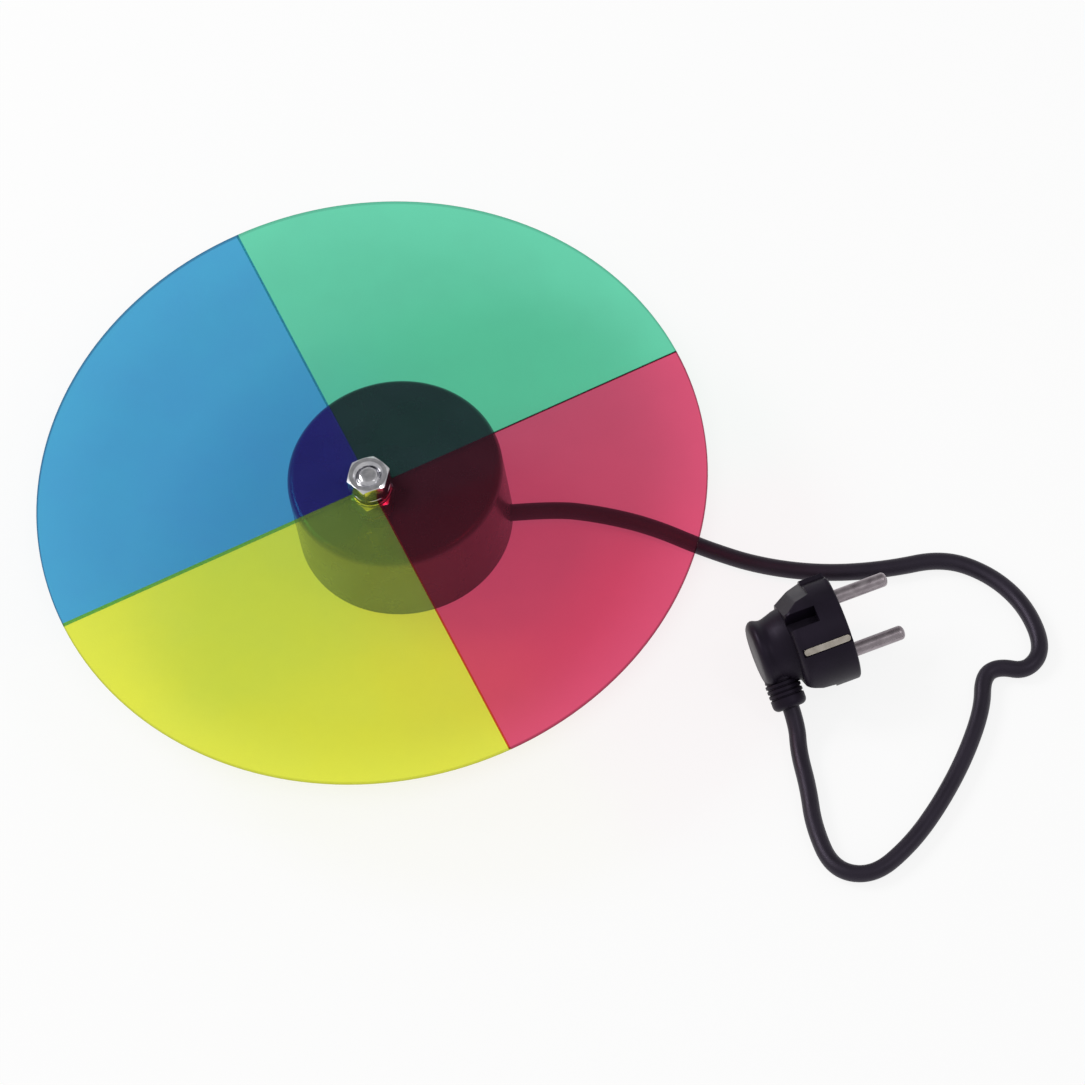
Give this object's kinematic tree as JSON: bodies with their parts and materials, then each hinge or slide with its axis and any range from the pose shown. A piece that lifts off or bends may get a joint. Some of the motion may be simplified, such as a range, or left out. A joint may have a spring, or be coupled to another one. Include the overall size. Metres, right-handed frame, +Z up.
{
  "type": "stage light color wheel",
  "caption": "Motor-driven color wheel for a stage light: a flat disc of colored filter sectors clamped on the spindle of a geared motor in a round black can, with a mains lead and angled plug.",
  "frame": {"origin": "on the spindle's axis, in the plane on which the motor housing stands", "axes": "+Z up along the spindle, through the disc; +X towards the side on which the mains lead leaves; +Y to the back"},
  "size_m": [0.3163, 0.2755, 0.0527],
  "materials": {
    "housing_plastic": "satin, fine moulded texture",
    "cord_sheath": "matt, soft sheath",
    "plug_rubber": "matt moulded",
    "zinc": "bright zinc plate",
    "screw_steel": "zinc-plated, satin",
    "sheet_steel": "pressed sheet, zinc-plated",
    "pin_steel": "ground",
    "nickel": "nickel plate, slightly worn",
    "brass": "machined",
    "core_insulation": "smooth",
    "copper_winding": "enamelled winding",
    "ferrite": "pressed and fired",
    "gear_plastic": "moulded, natural",
    "filter_green": "translucent, smooth",
    "filter_blue": "translucent, smooth",
    "filter_yellow": "translucent, smooth",
    "filter_red": "translucent, smooth"
  },
  "bodies": {
    "housing": {"motor_housing": "housing_plastic", "base_cover": "housing_plastic", "mounting_inserts": "brass", "cord_clamp": "housing_plastic", "clamp_screws": "screw_steel", "base_screws": "screw_steel", "motor_screws": "screw_steel", "stator_cup": "sheet_steel", "pole_plate": "sheet_steel", "coil_bobbin": "gear_plastic", "coil_winding": "copper_winding", "coil_tags": "brass", "gear_plate": "sheet_steel", "gearbox_cover": "sheet_steel", "output_bush": "brass", "rotor_pin": "pin_steel", "idler_pin": "pin_steel", "live_core": "core_insulation", "neutral_core": "core_insulation", "mains_cord": "cord_sheath", "plug_body": "plug_rubber", "plug_pins": "nickel", "earth_strips": "nickel"},
    "wheel": {"spindle": "zinc", "output_gear": "gear_plastic", "retaining_ring": "pin_steel", "lower_nut": "zinc", "lower_washer": "zinc", "upper_washer": "zinc", "upper_nut": "zinc", "filter_green": "filter_green", "filter_blue": "filter_blue", "filter_yellow": "filter_yellow", "filter_red": "filter_red"},
    "idler_3": {"idler_gear_3": "gear_plastic"},
    "idler_2": {"idler_gear_2": "gear_plastic"},
    "idler_1": {"idler_gear_1": "gear_plastic"},
    "rotor": {"rotor_magnet": "ferrite", "rotor_hub": "gear_plastic"}
  },
  "joints": [
    {"name": "wheel_spin", "type": "hinge", "parent": "housing", "child": "wheel", "pos_m": [0, 0, 0], "axis": [0, 0, 1], "continuous": true},
    {"name": "idler_3_spin", "type": "hinge", "parent": "housing", "child": "idler_3", "pos_m": [0.01413, -0.00188, 0], "axis": [0, 0, 1], "continuous": true},
    {"name": "idler_2_spin", "type": "hinge", "parent": "housing", "child": "idler_2", "pos_m": [0.00876, 0.01132, 0], "axis": [0, 0, 1], "continuous": true},
    {"name": "idler_1_spin", "type": "hinge", "parent": "housing", "child": "idler_1", "pos_m": [0.01413, -0.00188, 0], "axis": [0, 0, 1], "continuous": true},
    {"name": "rotor_spin", "type": "hinge", "parent": "housing", "child": "rotor", "pos_m": [0.00876, 0.01132, 0], "axis": [0, 0, 1], "continuous": true}
  ],
  "couplings": [
    {"joint": "idler_3_spin", "follows": "wheel_spin", "ratio": -3.75},
    {"joint": "idler_2_spin", "follows": "wheel_spin", "ratio": 14.062},
    {"joint": "idler_1_spin", "follows": "wheel_spin", "ratio": -52.734},
    {"joint": "rotor_spin", "follows": "wheel_spin", "ratio": 197.75}
  ]
}
